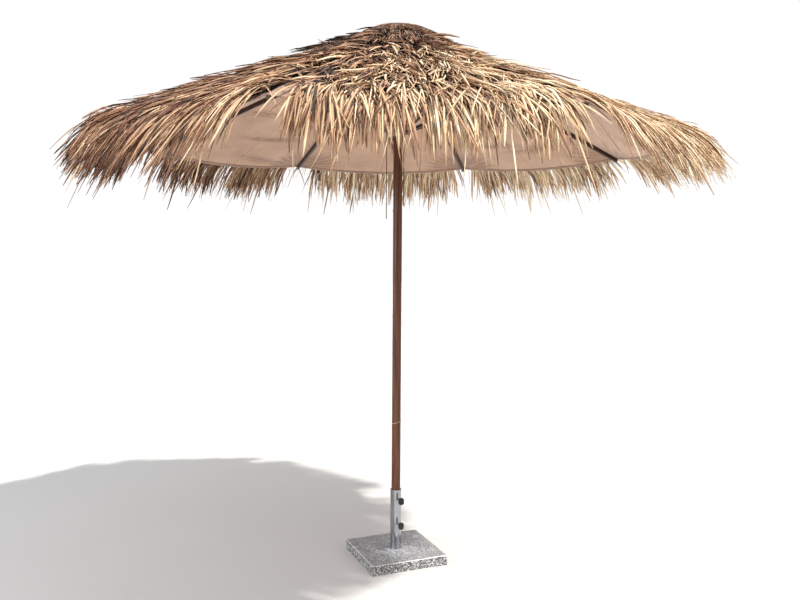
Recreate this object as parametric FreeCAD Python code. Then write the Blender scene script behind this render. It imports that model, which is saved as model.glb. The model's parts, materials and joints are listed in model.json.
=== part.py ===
import FreeCAD, Part
import math
import os

# Thatched beach umbrella, eight wooden ribs, on a granite base. Millimetres, +Z up.
# The origin is on the ground, on the pole's axis, and the slab's sides run along X and Y.

# ---- driving dimensions ----
RIB_COUNT = 8
CANOPY_TURN = 5.0            # direction of rib 1 about +Z, degrees from +X
RIB_STEP = 360.0 / RIB_COUNT
HALF_STEP = RIB_STEP / 2
OPEN_SLOPE = 20.3            # how far the ribs fall below level when open, degrees
HAULING_ANGLE = CANOPY_TURN + 3.5 * RIB_STEP     # between ribs 4 and 5
RUNNER_CORD_ANGLE = CANOPY_TURN + 0.5 * RIB_STEP  # between ribs 1 and 2

SLAB_SIDE = 425.0
SLAB_HEIGHT = 53.0
SLAB_ARRIS = 2.5
BOLT_HOLE_RADIUS = 7.0
COUNTERBORE_RADIUS = 20.0
COUNTERBORE_DEPTH = 16.0
BOLT_RADIUS = 6.0
BOLT_FLANGE_RADIUS = 17.0
BOLT_FLANGE_THICKNESS = 3.0
BOLT_HEAD_CORNER = 10.5      # axis to a corner of the hexagon
BOLT_HEAD_HEIGHT = 8.0

TUBE_RADIUS = 30.0
TUBE_WALL = 2.0
TUBE_TOP = 378.0
TUBE_PLUG_HEIGHT = 8.0
KNOB_HEIGHTS = {"upper": 330.0, "lower": 195.0}
BOSS_RADIUS = 10.0
BOSS_PROUD = 5.5             # how far a threaded boss stands out of the tube
SCREW_RADIUS = 5.0
SCREW_LENGTH = 46.0
SCREW_REST = 0.4             # the screw's tip stands this far off the pole
KNOB_FACE = TUBE_RADIUS + 55.0
KNOB_DEPTH = 16.0
KNOB_TALL = 37.0
KNOB_WIDE = 27.0
KNOB_NECK_LENGTH = 9.0
KNOB_DISH_RADIUS = 40.0
KNOB_DISH_DEPTH = 3.0

POLE_RADIUS = 24.0
POLE_BOTTOM = SLAB_HEIGHT + TUBE_PLUG_HEIGHT + 1.0
POLE_TOP = 2801.0
POLE_CHAMFER = 2.0
SLEEVE_PLAY = 0.3            # between the adapter sleeve and the pole

HINGE_RADIUS = 45.0          # rib hinges and runner pivots stand this far from the axis
HINGE_HEIGHT = 2770.0
RIB_WIDTH = 16.0
RIB_DEPTH = 22.0
RIB_TIP_RADIUS = 1513.0
STRUT_LENGTH = 677.0         # pivot to pivot, and the same from rib hinge to strut pivot
STRUT_WIDTH = 12.0
STRUT_DEPTH = 16.0
TONGUE_WIDTH = 6.0
TONGUE_DEPTH = 14.0
PIN_RADIUS = 2.5
PIN_CLEARANCE = 0.05
PRESS_FIT = 0.02             # between a pin and the piece that holds it
HINGE_PIN_HALF = 13.0
AXLE_HALF = 8.8
STRUT_PIN_HALF = 7.6
SLOT_PLAY = 0.4              # on each side of a rib or strut in its slot
MORTISE_IN = 34.0            # the rib's mortise, inward and outward of the strut's pin
MORTISE_OUT = 56.0
LOWER_TONGUE_LENGTH = 62.0
UPPER_TONGUE_LENGTH = 70.0

HUB_RADIUS = 68.0
HUB_CORE_RADIUS = 33.0
HUB_HEIGHT = 44.0
RUNNER_RADIUS = 28.5
RUNNER_BOTTOM = 2254.0
RUNNER_TOP = 2330.0
FLANGE_RADIUS = 60.0
FLANGE_HEIGHT = 18.0

CORD_RADIUS = 2.5
PULLEY_CENTRE_RADIUS = 48.0
PULLEY_CENTRE_HEIGHT = 2775.0
PULLEY_GROOVE_RADIUS = 9.5
PULLEY_RADIUS = 12.5
PULLEY_WIDTH = 6.0
HAULING_CORD_END = 1843.0
EYE_HEIGHT = RUNNER_BOTTOM + 12.0
EYE_RING_RADIUS = 6.0
EYE_CENTRE = 62.0
RUNNER_CORD_HANG = 48.0
RUNNER_CORD_END = 1914.0
TIE_HEIGHT = 747.0
TIE_RADIUS = 1.2
TIE_TILT = 17.0
TIE_TURN = 22.5

FABRIC_THICKNESS = 2.0
FABRIC_SEAM = 0.5            # half the gap between half panels
FABRIC_LIFT = 13.7           # underside of the fabric above the ribs' centre line
FABRIC_INNER_RADIUS = 74.0
FABRIC_RIM_RADIUS = 1522.0
RIM_SAG = 40.0               # the rim hangs this much lower half way between ribs
THATCH_THICKNESS = 4.0
THATCH_GAP = 3.0             # half the gap between neighbouring thatch skirts
# Thatch above the ribs' centre line as (radius, lift, sag between ribs), then its fringe
# past the rim as (radius, height, sag between ribs).
THATCH_LIFTS = [(160.0, 65.0, 0.0), (230.0, 70.0, 0.0), (900.0, 88.0, 10.0), (1500.0, 78.0, 25.0)]
THATCH_FRINGE = [(1640.0, 2165.0, 15.0), (1705.0, 1985.0, 0.0)]
CROWN_RADIUS = 220.0
CROWN_TOP = 2858.0

# ---- worked out from them ----
SLOPE = math.radians(OPEN_SLOPE)
RIB_LENGTH = (RIB_TIP_RADIUS - HINGE_RADIUS) / math.cos(SLOPE)
RUNNER_PIVOT_HEIGHT = HINGE_HEIGHT - 2 * STRUT_LENGTH * math.sin(SLOPE)
BORE_RADIUS = PIN_RADIUS + PIN_CLEARANCE
CORD_LIFT_RADIUS = PULLEY_CENTRE_RADIUS - PULLEY_GROOVE_RADIUS - CORD_RADIUS
CORD_HANG_RADIUS = PULLEY_CENTRE_RADIUS + PULLEY_GROOVE_RADIUS + CORD_RADIUS

X_AXIS = FreeCAD.Vector(1, 0, 0)
Y_AXIS = FreeCAD.Vector(0, 1, 0)
Z_AXIS = FreeCAD.Vector(0, 0, 1)
ORIGIN = FreeCAD.Vector(0, 0, 0)


def vec(x, y, z):
    return FreeCAD.Vector(x, y, z)


def cylinder(radius, bottom, top, centre=(0.0, 0.0)):
    return Part.makeCylinder(radius, top - bottom, vec(centre[0], centre[1], bottom))


def rod(radius, start, direction, length):
    return Part.makeCylinder(radius, length, start, direction)


def cross_pin(radius, half_length, x, z):
    """A pin along Y, centred on the XZ plane."""
    return rod(radius, vec(x, -half_length, z), Y_AXIS, 2 * half_length)


def box(low, high):
    size = [b - a for a, b in zip(low, high)]
    return Part.makeBox(size[0], size[1], size[2], vec(*low))


def turned(shape, angle):
    copy = shape.copy()
    copy.rotate(ORIGIN, Z_AXIS, angle)
    return copy


def around(shape):
    """One copy for each rib's direction."""
    return [turned(shape, CANOPY_TURN + i * RIB_STEP) for i in range(RIB_COUNT)]


def revolved(profile):
    """A solid of revolution about Z from (radius, height) corners."""
    points = [vec(r, 0, z) for r, z in profile]
    face = Part.Face(Part.makePolygon(points + points[:1]))
    return face.revolve(ORIGIN, Z_AXIS, 360)


# ---- base ----
def base_slab():
    half = SLAB_SIDE / 2
    slab = box((-half, -half, 0), (half, half, SLAB_HEIGHT))
    sharp = [e for e in slab.Edges if e.BoundBox.ZMax > SLAB_HEIGHT - 1 or e.BoundBox.ZLength > 1]
    slab = slab.makeChamfer(SLAB_ARRIS, sharp)
    slab = slab.cut(cylinder(BOLT_HOLE_RADIUS, -1, SLAB_HEIGHT + 1))
    return slab.cut(cylinder(COUNTERBORE_RADIUS, -1, COUNTERBORE_DEPTH))


def base_tube():
    """Chrome tube with a plug in its foot, and a threaded boss behind each knob."""
    inner = TUBE_RADIUS - TUBE_WALL
    plug_top = SLAB_HEIGHT + TUBE_PLUG_HEIGHT
    tube = cylinder(TUBE_RADIUS, SLAB_HEIGHT, TUBE_TOP)
    tube = tube.makeChamfer(0.6, [e for e in tube.Edges if e.BoundBox.ZMin > TUBE_TOP - 1])
    tube = tube.cut(cylinder(inner, plug_top, TUBE_TOP + 1))
    tube = tube.cut(cylinder(BOLT_RADIUS + PIN_CLEARANCE, SLAB_HEIGHT - 1, plug_top + 1))
    for height in KNOB_HEIGHTS.values():
        boss = rod(BOSS_RADIUS, vec(0, -(TUBE_RADIUS - 1.5), height), -Y_AXIS, BOSS_PROUD + 1.5)
        inside = cylinder(TUBE_RADIUS - 1, height - 2 * BOSS_RADIUS, height + 2 * BOSS_RADIUS)
        tube = tube.fuse(boss.cut(inside))
        tube = tube.cut(rod(SCREW_RADIUS + 0.1, vec(0, -20, height), -Y_AXIS, 30))
    return tube


def anchor_bolt():
    """Hexagon flange bolt that holds the tube down from below the slab."""
    seat = COUNTERBORE_DEPTH
    shank = cylinder(BOLT_RADIUS, seat, SLAB_HEIGHT + TUBE_PLUG_HEIGHT)
    flange = cylinder(BOLT_FLANGE_RADIUS, seat - BOLT_FLANGE_THICKNESS, seat)
    low = seat - BOLT_FLANGE_THICKNESS - BOLT_HEAD_HEIGHT
    corner = Part.Vertex(BOLT_HEAD_CORNER, 0, low)
    hexagon = [turned(corner, angle).Point for angle in range(0, 361, 60)]
    head = Part.Face(Part.makePolygon(hexagon)).extrude(vec(0, 0, BOLT_HEAD_HEIGHT))
    return shank.fuse([flange, head])


def adapter_sleeve():
    """Plastic sleeve between tube and pole, split down its back so that the knobs can close it."""
    outer = TUBE_RADIUS - TUBE_WALL - 0.2
    low = SLAB_HEIGHT + TUBE_PLUG_HEIGHT + 0.5
    sleeve = cylinder(outer, low, TUBE_TOP - 1).cut(cylinder(POLE_RADIUS + SLEEVE_PLAY, low - 1, TUBE_TOP))
    for height in KNOB_HEIGHTS.values():
        sleeve = sleeve.cut(rod(SCREW_RADIUS + 0.8, vec(0, -15, height), -Y_AXIS, 20))
    split = box((-1.0, 0, low - 1), (1.0, outer + 1, TUBE_TOP))
    return sleeve.cut(split)


def clamp_screw(height):
    return rod(SCREW_RADIUS, vec(0, -(POLE_RADIUS + SCREW_REST), height), -Y_AXIS, SCREW_LENGTH)


def clamp_knob(height):
    """Oval grip, taller than wide, with a dished face and a short neck."""
    back = KNOB_FACE - KNOB_DEPTH
    grip = rod(KNOB_TALL / 2, vec(0, -back, height), -Y_AXIS, KNOB_DEPTH)
    for side in (-1, 1):
        near = side * KNOB_WIDE / 2
        far = side * KNOB_TALL
        grip = grip.cut(box((min(near, far), -KNOB_FACE - 1, height - KNOB_TALL),
                            (max(near, far), -back + 1, height + KNOB_TALL)))
    grip = grip.makeFillet(2.0, [e for e in grip.Edges if e.BoundBox.YLength < 0.1])
    dish = vec(0, -KNOB_FACE - KNOB_DISH_RADIUS + KNOB_DISH_DEPTH, height)
    grip = grip.cut(Part.makeSphere(KNOB_DISH_RADIUS, dish))
    neck_start = back - KNOB_NECK_LENGTH
    neck = Part.makeCone(8.5, 11.0, KNOB_NECK_LENGTH, vec(0, -neck_start, height), -Y_AXIS)
    screw_end = POLE_RADIUS + SCREW_REST + SCREW_LENGTH
    socket = rod(SCREW_RADIUS, vec(0, -50, height), -Y_AXIS, screw_end - 50)
    return grip.fuse(neck).cut(socket)


# ---- pole and what is fixed to it ----
def pole():
    body = cylinder(POLE_RADIUS, POLE_BOTTOM, POLE_TOP)
    ends = [e for e in body.Edges if e.BoundBox.ZLength < 0.1]
    return body.makeChamfer(POLE_CHAMFER, ends)


def pole_tie_cord():
    """A thin cord knotted loosely round the pole, higher on one side."""
    ring = Part.makeTorus(POLE_RADIUS + TIE_RADIUS + 1.4, TIE_RADIUS, ORIGIN)
    ring.rotate(ORIGIN, Y_AXIS, -TIE_TILT)
    ring = turned(ring, -TIE_TURN)
    return ring.translate(vec(0, 0, TIE_HEIGHT))


def top_hub():
    low = HINGE_HEIGHT - HUB_HEIGHT / 2
    high = HINGE_HEIGHT + HUB_HEIGHT / 2
    hub = revolved([(POLE_RADIUS + 0.1, low), (HUB_RADIUS - 6, low), (HUB_RADIUS, low + 6),
                    (HUB_RADIUS, high - 12), (HUB_RADIUS - 12, high), (POLE_RADIUS + 0.1, high)])
    slot = box((HUB_CORE_RADIUS + 0.2, -RIB_WIDTH / 2 - SLOT_PLAY, low - 1),
               (HUB_RADIUS + 1, RIB_WIDTH / 2 + SLOT_PLAY, high + 1))
    pin_hole = cross_pin(PIN_RADIUS + PRESS_FIT, HINGE_PIN_HALF + 0.2, HINGE_RADIUS, HINGE_HEIGHT)
    hub = hub.cut(around(slot)).cut(around(pin_hole))
    pulley_slot = box((HUB_CORE_RADIUS, -3.5, low - 1), (HUB_RADIUS + 1, 3.5, high + 1))
    axle_hole = cross_pin(PIN_RADIUS + PRESS_FIT, AXLE_HALF + 0.2, PULLEY_CENTRE_RADIUS,
                          PULLEY_CENTRE_HEIGHT)
    return hub.cut([turned(pulley_slot, HAULING_ANGLE), turned(axle_hole, HAULING_ANGLE)])


def rib_hinge_pins():
    return Part.makeCompound(around(cross_pin(PIN_RADIUS, HINGE_PIN_HALF, HINGE_RADIUS, HINGE_HEIGHT)))


def cord_pulley():
    rim = PULLEY_RADIUS - PULLEY_GROOVE_RADIUS
    half = PULLEY_WIDTH / 2
    blank = cross_pin(PULLEY_RADIUS, half, 0, 0)
    groove = Part.makeTorus(PULLEY_RADIUS + 0.3, rim + 0.3, ORIGIN, Y_AXIS)
    wheel = blank.cut(groove).cut(cross_pin(BORE_RADIUS, half + 1, 0, 0))
    return turned(wheel.translate(vec(PULLEY_CENTRE_RADIUS, 0, PULLEY_CENTRE_HEIGHT)), HAULING_ANGLE)


def pulley_axle():
    axle = cross_pin(PIN_RADIUS, AXLE_HALF, PULLEY_CENTRE_RADIUS, PULLEY_CENTRE_HEIGHT)
    return turned(axle, HAULING_ANGLE)


def cord_along(edges, start, direction):
    """A round cord swept along joined straight runs and arcs."""
    path = Part.Wire(edges)
    section = Part.Wire([Part.Circle(start, direction, CORD_RADIUS).toShape()])
    return path.makePipeShell([section], True, False)


def lift_cord():
    """The stretch that carries the runner, up to the pulley's inner side."""
    foot = RUNNER_PIVOT_HEIGHT + FLANGE_HEIGHT / 2 + 0.4
    run = rod(CORD_RADIUS, vec(CORD_LIFT_RADIUS, 0, foot), Z_AXIS, PULLEY_CENTRE_HEIGHT - foot)
    return turned(run, HAULING_ANGLE)


def hauling_cord():
    """Over the pulley in a half turn, then straight down to its free end."""
    start = vec(CORD_LIFT_RADIUS, 0, PULLEY_CENTRE_HEIGHT)
    top = vec(PULLEY_CENTRE_RADIUS, 0, PULLEY_CENTRE_HEIGHT + PULLEY_GROOVE_RADIUS + CORD_RADIUS)
    side = vec(CORD_HANG_RADIUS, 0, PULLEY_CENTRE_HEIGHT)
    end = vec(CORD_HANG_RADIUS, 0, HAULING_CORD_END)
    edges = [Part.Arc(start, top, side).toShape(), Part.LineSegment(side, end).toShape()]
    print("hauling_cord bend radius", PULLEY_GROOVE_RADIUS + CORD_RADIUS)
    return turned(cord_along(edges, start, Z_AXIS), HAULING_ANGLE)


def thatch_crown():
    """Cap of thatch over the hub, laid on the skirts' inner ends."""
    foot = POLE_TOP + 1.5
    return revolved([(0, foot), (74, foot), (160, foot - 5.5), (CROWN_RADIUS, foot - 25.5),
                     (CROWN_RADIUS, foot - 16.5), (165, foot + 17.5), (95, foot + 43.5),
                     (40, foot + 53.5), (0, CROWN_TOP)])


# ---- runner ----
def runner():
    flange_low = RUNNER_PIVOT_HEIGHT - FLANGE_HEIGHT / 2
    flange_high = RUNNER_PIVOT_HEIGHT + FLANGE_HEIGHT / 2
    bore = POLE_RADIUS + 0.6
    body = revolved([(bore, RUNNER_BOTTOM), (RUNNER_RADIUS + 1.0, RUNNER_BOTTOM),
                     (RUNNER_RADIUS + 1.0, RUNNER_BOTTOM + 5), (RUNNER_RADIUS, RUNNER_BOTTOM + 6),
                     (RUNNER_RADIUS, flange_low - 6), (RUNNER_RADIUS + 7, flange_low),
                     (FLANGE_RADIUS, flange_low), (FLANGE_RADIUS, flange_high),
                     (RUNNER_RADIUS + 3, flange_high), (RUNNER_RADIUS, RUNNER_TOP), (bore, RUNNER_TOP)])
    slot = box((HINGE_RADIUS - 9.0, -TONGUE_WIDTH / 2 - SLOT_PLAY, flange_low - 1),
               (FLANGE_RADIUS + 1, TONGUE_WIDTH / 2 + SLOT_PLAY, flange_high + 1))
    groove_top = RUNNER_PIVOT_HEIGHT + PIN_RADIUS + 0.5
    groove = revolved([(HINGE_RADIUS - 3.1, flange_low - 1), (HINGE_RADIUS + 3.8, flange_low - 1),
                       (HINGE_RADIUS + 3.8, groove_top), (HINGE_RADIUS - 3.1, groove_top)])
    notch = turned(cylinder(4.5, flange_low - 1, flange_high + 1, (CORD_HANG_RADIUS, 0)), HAULING_ANGLE)
    eye_hole = turned(rod(1.6, vec(20, 0, EYE_HEIGHT), X_AXIS, 12), RUNNER_CORD_ANGLE)
    return body.cut(around(slot)).cut([groove, notch, eye_hole])


def runner_eye():
    """Screw eye in the runner's side; its shank starts inside the runner's wall."""
    shank = rod(1.5, vec(POLE_RADIUS + 1.5, 0, EYE_HEIGHT), X_AXIS,
                EYE_CENTRE - EYE_RING_RADIUS - POLE_RADIUS - 1.5)
    ring = Part.makeTorus(EYE_RING_RADIUS, 1.5, vec(EYE_CENTRE, 0, EYE_HEIGHT), Y_AXIS)
    return turned(shank.fuse(ring), RUNNER_CORD_ANGLE)


# Route of the runner cord as (distance from the axis, height), along RUNNER_CORD_ANGLE.
RUNNER_CORD_ROUTE = [
    (EYE_CENTRE, EYE_HEIGHT - EYE_RING_RADIUS - 1.8),
    (EYE_CENTRE - 2.0, EYE_HEIGHT - 24.0),
    (RUNNER_CORD_HANG + 1.0, EYE_HEIGHT - 56.0),
    (RUNNER_CORD_HANG, EYE_HEIGHT - 100.0),
    (RUNNER_CORD_HANG + 0.5, RUNNER_CORD_END),
]


def runner_cord():
    """Free cord below the eye: straight runs joined by arcs as large as the runs allow."""
    points = [vec(r, 0, z) for r, z in RUNNER_CORD_ROUTE]
    edges = []
    start = points[0]
    for before, corner, after in zip(points, points[1:], points[2:]):
        into = corner - before
        out = after - corner
        trim = 0.45 * min(into.Length, out.Length)
        turn = into.getAngle(out)
        print("runner_cord bend radius", round(trim / math.tan(turn / 2), 1))
        into.normalize()
        out.normalize()
        arc_start = corner - into * trim
        arc_end = corner + out * trim
        middle_way = out - into
        middle_way.normalize()
        radius = trim / math.tan(turn / 2)
        centre = corner + middle_way * (radius / math.cos(turn / 2))
        middle = centre - middle_way * radius
        edges.append(Part.LineSegment(start, arc_start).toShape())
        edges.append(Part.Arc(arc_start, middle, arc_end).toShape())
        start = arc_end
    edges.append(Part.LineSegment(start, points[-1]).toShape())
    cord = cord_along(edges, points[0], points[1] - points[0])
    return turned(cord, RUNNER_CORD_ANGLE)


# ---- ribs and struts, made along +X and turned to their places ----
def tilted(shape, angle, x, z):
    """Tips a piece made along +X down by angle and moves its start to (x, z)."""
    copy = shape.copy()
    copy.rotate(ORIGIN, Y_AXIS, angle)
    return copy.translate(vec(x, 0, z))


def rib():
    half_width = RIB_WIDTH / 2
    half_depth = RIB_DEPTH / 2
    bar = box((0, -half_width, -half_depth), (RIB_LENGTH, half_width, half_depth))
    bar = bar.makeChamfer(1.5, [e for e in bar.Edges if e.BoundBox.XLength > 1])
    heel = cross_pin(half_depth, half_width, 0, 0)
    mortise = box((STRUT_LENGTH - MORTISE_IN, -TONGUE_WIDTH / 2 - SLOT_PLAY, -half_depth - 1),
                  (STRUT_LENGTH + MORTISE_OUT, TONGUE_WIDTH / 2 + SLOT_PLAY, half_depth + 1))
    holes = [cross_pin(BORE_RADIUS, half_width + 1, x, 0) for x in (0, STRUT_LENGTH)]
    return tilted(bar.fuse(heel).cut(holes + [mortise]), OPEN_SLOPE, HINGE_RADIUS, HINGE_HEIGHT)


def strut():
    bar = box((LOWER_TONGUE_LENGTH, -STRUT_WIDTH / 2, -STRUT_DEPTH / 2),
              (STRUT_LENGTH - UPPER_TONGUE_LENGTH, STRUT_WIDTH / 2, STRUT_DEPTH / 2))
    bar = bar.makeChamfer(1.5, [e for e in bar.Edges if e.BoundBox.XLength > 1])
    tongue = box((0, -TONGUE_WIDTH / 2, -TONGUE_DEPTH / 2),
                 (STRUT_LENGTH, TONGUE_WIDTH / 2, TONGUE_DEPTH / 2))
    ends = [cross_pin(TONGUE_DEPTH / 2, TONGUE_WIDTH / 2, x, 0) for x in (0, STRUT_LENGTH)]
    holes = [cross_pin(PIN_RADIUS + PRESS_FIT, STRUT_WIDTH, x, 0) for x in (0, STRUT_LENGTH)]
    whole = bar.fuse([tongue] + ends).cut(holes)
    return tilted(whole, -OPEN_SLOPE, HINGE_RADIUS, RUNNER_PIVOT_HEIGHT)


def strut_pins():
    pins = [cross_pin(PIN_RADIUS, STRUT_PIN_HALF, x, 0) for x in (0, STRUT_LENGTH)]
    return tilted(Part.makeCompound(pins), -OPEN_SLOPE, HINGE_RADIUS, RUNNER_PIVOT_HEIGHT)


# ---- canopy: each rib carries the fabric and thatch half way to its neighbours ----
def rib_line_height(radius):
    """Height of the ribs' centre line."""
    return HINGE_HEIGHT - (radius - HINGE_RADIUS) * math.tan(SLOPE)


def half_way_point(radius, height, gap):
    """The point of a ring of straight sides half way to the next rib, less half a gap."""
    angle = math.radians(HALF_STEP)
    reach = radius * math.cos(angle)
    return vec(reach * math.cos(angle) + gap * math.sin(angle),
               reach * math.sin(angle) - gap * math.cos(angle), height)


def thatch_half(stations):
    """Prisms between the rib line and the half-way line; stations hold radius, height and sag."""
    rib_side = [vec(r, 0, z) for r, z, sag in stations]
    far_side = [half_way_point(r, z - sag, THATCH_GAP) for r, z, sag in stations]
    prisms = []
    for i in range(len(stations) - 1):
        a, b, c, d = rib_side[i], rib_side[i + 1], far_side[i + 1], far_side[i]
        for corners in ((a, b, c), (a, c, d)):
            face = Part.Face(Part.makePolygon(list(corners) + [corners[0]]))
            prisms.append(face.extrude(vec(0, 0, -THATCH_THICKNESS)))
    return prisms[0].fuse(prisms[1:])


def mirrored(shape):
    return shape.mirror(ORIGIN, Y_AXIS)


def canopy_gore():
    """Two flat half panels that meet over the rib; each sags from the rib to its far side."""
    lift = FABRIC_LIFT + FABRIC_THICKNESS
    inner = vec(FABRIC_INNER_RADIUS, FABRIC_SEAM, rib_line_height(FABRIC_INNER_RADIUS) + lift)
    rim = vec(FABRIC_RIM_RADIUS, FABRIC_SEAM, rib_line_height(FABRIC_RIM_RADIUS) + lift)
    rim_far = half_way_point(FABRIC_RIM_RADIUS, rim.z - RIM_SAG, FABRIC_SEAM)
    inner_far = half_way_point(FABRIC_INNER_RADIUS, inner.z, FABRIC_SEAM)
    across = (rim - inner).cross(rim_far - inner)
    inner_far.z -= across.dot(inner_far - inner) / across.z
    outline = [inner, rim, rim_far, inner_far, inner]
    half = Part.Face(Part.makePolygon(outline)).extrude(vec(0, 0, -FABRIC_THICKNESS))
    return Part.makeCompound([half, mirrored(half)])


def thatch_skirt():
    stations = [(radius, rib_line_height(radius) + lift, sag) for radius, lift, sag in THATCH_LIFTS]
    stations += THATCH_FRINGE
    half = thatch_half(stations)
    return half.fuse(mirrored(half))


# ---- every node ----
def nodes():
    yield "base_slab", base_slab()
    yield "base_tube", base_tube()
    yield "anchor_bolt", anchor_bolt()
    yield "adapter_sleeve", adapter_sleeve()
    for name, height in KNOB_HEIGHTS.items():
        yield name + "_clamp_screw", clamp_screw(height)
        yield name + "_clamp_knob", clamp_knob(height)
    yield "pole", pole()
    yield "pole_tie_cord", pole_tie_cord()
    yield "top_hub", top_hub()
    yield "rib_hinge_pins", rib_hinge_pins()
    yield "cord_pulley", cord_pulley()
    yield "pulley_axle", pulley_axle()
    yield "lift_cord", lift_cord()
    yield "hauling_cord", hauling_cord()
    yield "thatch_crown", thatch_crown()
    yield "runner", runner()
    yield "runner_eye", runner_eye()
    yield "runner_cord", runner_cord()
    repeated = {"rib": rib(), "strut": strut(), "strut_pins": strut_pins(),
                "canopy_gore": canopy_gore(), "thatch_skirt": thatch_skirt()}
    for name, shape in repeated.items():
        for i, copy in enumerate(around(shape)):
            yield "%s_%d" % (name, i + 1), copy


os.makedirs("parts", exist_ok=True)
for node, shape in nodes():
    solids = shape.Solids
    print("%-18s %d solid(s) %12.1f mm3 valid %s" % (node, len(solids), shape.Volume, shape.isValid()))
    shape.exportStep("parts/%s.step" % node)
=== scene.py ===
import json
import math
import bpy
import numpy as np
from mathutils import Matrix, Vector


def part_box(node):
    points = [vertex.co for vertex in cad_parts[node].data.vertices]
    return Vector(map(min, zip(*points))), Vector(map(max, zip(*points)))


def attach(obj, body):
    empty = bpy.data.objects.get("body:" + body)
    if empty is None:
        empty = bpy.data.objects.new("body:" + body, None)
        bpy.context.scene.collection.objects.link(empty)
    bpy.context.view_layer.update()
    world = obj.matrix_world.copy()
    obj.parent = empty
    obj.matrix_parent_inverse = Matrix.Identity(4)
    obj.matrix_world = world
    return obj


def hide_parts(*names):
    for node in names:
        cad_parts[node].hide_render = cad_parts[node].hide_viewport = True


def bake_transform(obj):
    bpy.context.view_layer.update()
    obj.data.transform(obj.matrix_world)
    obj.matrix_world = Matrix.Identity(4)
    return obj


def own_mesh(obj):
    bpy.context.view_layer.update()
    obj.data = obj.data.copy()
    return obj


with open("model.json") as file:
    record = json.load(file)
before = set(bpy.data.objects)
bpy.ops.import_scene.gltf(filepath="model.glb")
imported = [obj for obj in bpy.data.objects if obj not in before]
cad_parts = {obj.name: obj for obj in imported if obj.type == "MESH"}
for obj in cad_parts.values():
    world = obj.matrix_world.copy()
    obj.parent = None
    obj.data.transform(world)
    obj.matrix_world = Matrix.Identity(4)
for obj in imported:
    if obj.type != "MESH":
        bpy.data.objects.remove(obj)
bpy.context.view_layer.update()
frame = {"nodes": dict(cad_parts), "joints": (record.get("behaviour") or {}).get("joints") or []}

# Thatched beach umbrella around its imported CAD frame. Metres, +Z up, the pole's axis is the Z axis.
joints = {joint["name"]: joint for joint in frame["joints"]}
RIB_COUNT = sum(name.startswith("rib_") and name.endswith("_fold") for name in joints)
RIB_NUMBERS = range(1, RIB_COUNT + 1)
HALF_STEP = math.pi / RIB_COUNT
HALF_SIN = math.sin(HALF_STEP)
HALF_COS = math.cos(HALF_STEP)


def widest(node):
    """Distance from the axis to a CAD node's furthest point."""
    points = np.array([v.co for v in frame["nodes"][node].data.vertices], float)
    return float(np.hypot(*points[:, :2].T).max())


# ---- sizes read from the frame ----
hinge = Vector(joints["rib_1_fold"]["pos_m"])
pivot = Vector(joints["strut_1_fold"]["pos_m"])
HINGE_RADIUS = math.hypot(hinge.x, hinge.y)
HINGE_HEIGHT = hinge.z
SLOPE = math.atan2(hinge.z - pivot.z, math.hypot(pivot.x, pivot.y) - HINGE_RADIUS)
RIM_RADIUS = widest("canopy_gore_1")
CROWN_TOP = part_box("thatch_crown")[1].z
POLE_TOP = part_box("pole")[1].z
SLAB_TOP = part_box("base_slab")[1].z
ARRIS_HEIGHT = 0.0024

# ---- sizes of the soft pieces ----
FABRIC_INNER = 0.074
FABRIC_LIFT = 0.0157
FABRIC_THICKNESS = 0.0014
RIM_SAG = 0.040
HEM_WIDTH = 0.024
SEAM_RING = 1.222  # distance of the fabric's cross seam from the axis, measured along a rib
STITCHES_PER_METRE = 160.0
THREADS_SCALE = 420.0  # scale of the wave texture that draws the weave
CORD_DIAMETER = 0.005
TIE_DIAMETER = 0.0024
KNOT_SIZE = 0.0042
KNOT_CORD = 0.8  # thickness of a knot's cord, as a share of its rope
ROPE_STRANDS = 3
ROPE_PITCH = 3.2  # length of one turn of a strand, in diameters of its rope
OFF_RIB = 1e-6  # keeps a point just beside the rib, where a side has a sign


def rib_angle(number):
    place = joints["rib_%d_fold" % number]["pos_m"]
    return math.atan2(place[1], place[0])


# ---- camera: where the photograph was taken from, solved from it ----
VIEW_TURN = math.radians(-22.46)  # also the direction of the photograph's right, from +X
CAMERA_SIDE = 0.0159
CAMERA_DISTANCE = 4.3968
CAMERA_HEIGHT = 1.7201
CAMERA_PITCH = math.radians(4.0308)
CAMERA_ROLL = math.radians(0.374)
CAMERA_SENSOR = 36.0
CAMERA_LENS = 36.958


def new_object(name, data):
    made = bpy.data.objects.new(name, data)
    bpy.context.scene.collection.objects.link(made)
    return made


def full_turn(count):
    """That many angles round a circle, in even steps."""
    return np.linspace(0, 2 * math.pi, count, endpoint=False)


def make_camera():
    data = bpy.data.cameras.new("camera")
    data.sensor_width = CAMERA_SENSOR
    data.lens = CAMERA_LENS
    camera = new_object("camera", data)
    aim = Vector((0, math.cos(CAMERA_PITCH), -math.sin(CAMERA_PITCH)))
    up = Vector((0, math.sin(CAMERA_PITCH), math.cos(CAMERA_PITCH)))
    right = Vector((1, 0, 0))
    axis_x = right * math.cos(CAMERA_ROLL) + up * math.sin(CAMERA_ROLL)
    axis_y = up * math.cos(CAMERA_ROLL) - right * math.sin(CAMERA_ROLL)
    stand = Matrix((axis_x, axis_y, -aim)).transposed().to_4x4()
    stand.translation = (CAMERA_SIDE, -CAMERA_DISTANCE, CAMERA_HEIGHT)
    camera.matrix_world = Matrix.Rotation(VIEW_TURN, 4, "Z") @ stand
    bpy.context.scene.camera = camera


make_camera()


# ---- mesh helpers ----
def mesh_object(name, points, faces, material, smooth=True):
    mesh = bpy.data.meshes.new(name)
    mesh.from_pydata(points, [], faces)
    mesh.validate()
    mesh.polygons.foreach_set("use_smooth", [smooth] * len(mesh.polygons))
    mesh.materials.append(material)
    return new_object(name, mesh)


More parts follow.
